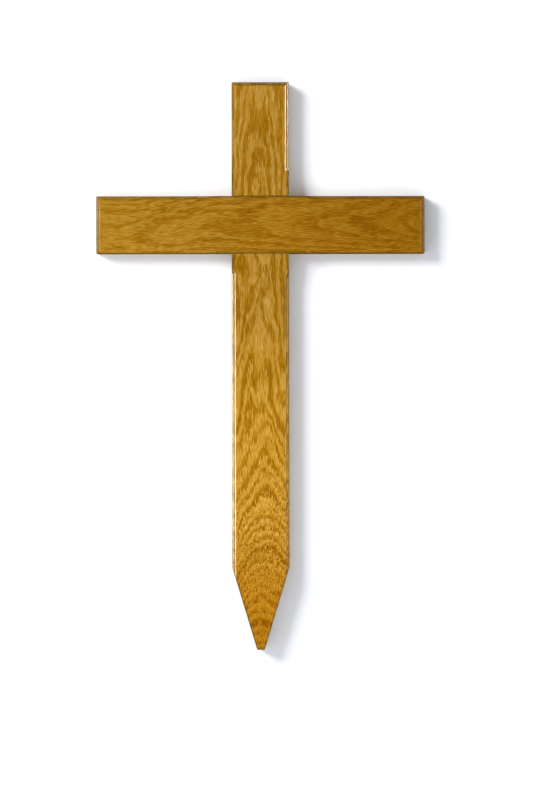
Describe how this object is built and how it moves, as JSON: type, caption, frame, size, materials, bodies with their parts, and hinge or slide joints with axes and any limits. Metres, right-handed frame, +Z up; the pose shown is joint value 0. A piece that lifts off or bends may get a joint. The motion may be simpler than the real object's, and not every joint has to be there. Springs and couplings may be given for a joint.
{
  "type": "wooden grave cross",
  "caption": "Plain varnished oak grave cross with a pointed foot for setting in the ground, halved at the crossing, with a stopped moulding along the front edges.",
  "frame": {"origin": "on the post's axis, midway through its thickness, at the height where the point starts and the ground comes to", "axes": "+Z up along the post, +Y from the front face to the back face, +X along the crossbar to the right as seen from the front"},
  "size_m": [0.353, 0.02, 0.61],
  "materials": {
    "post_oak": "satin varnished oak, long grain up the post, open pores, golden brown",
    "crossbar_oak": "satin varnished oak, long grain along the bar, open pores, a little darker"
  },
  "bodies": {
    "root": {"post": "post_oak", "crossbar": "crossbar_oak"}
  },
  "joints": []
}
